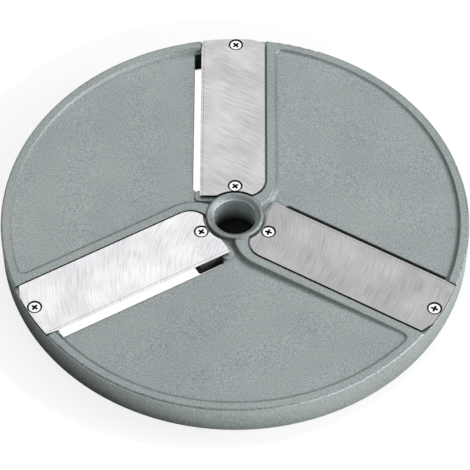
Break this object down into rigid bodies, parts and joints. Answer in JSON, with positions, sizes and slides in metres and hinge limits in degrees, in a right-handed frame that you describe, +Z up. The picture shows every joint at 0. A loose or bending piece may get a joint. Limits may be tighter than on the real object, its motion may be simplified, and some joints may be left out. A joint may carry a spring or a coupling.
{
  "type": "slicing disc",
  "caption": "Round cast slicing disc for a vegetable cutting machine, with flat radial blades screwed over slots, ramped floors, a skirt and a central bore for the drive shaft.",
  "frame": {"origin": "on the bore's axis at the bottom of the skirt, the face that the disc stands on", "axes": "+Z up along the bore's axis, out of the cutting side; +Y along the first blade, whose cutting edge is on its -X side"},
  "size_m": [0.205, 0.205, 0.0165],
  "materials": {
    "casting": "bead-blasted cast aluminium, satin grey",
    "blade_steel": "brushed stainless steel",
    "screw_steel": "plain turned stainless steel"
  },
  "bodies": {
    "root": {"disc_casting": "casting", "blade_1": "blade_steel", "blade_2": "blade_steel", "blade_3": "blade_steel", "screw_inner_1": "screw_steel", "screw_outer_1": "screw_steel", "screw_inner_2": "screw_steel", "screw_outer_2": "screw_steel", "screw_inner_3": "screw_steel", "screw_outer_3": "screw_steel"}
  },
  "joints": []
}
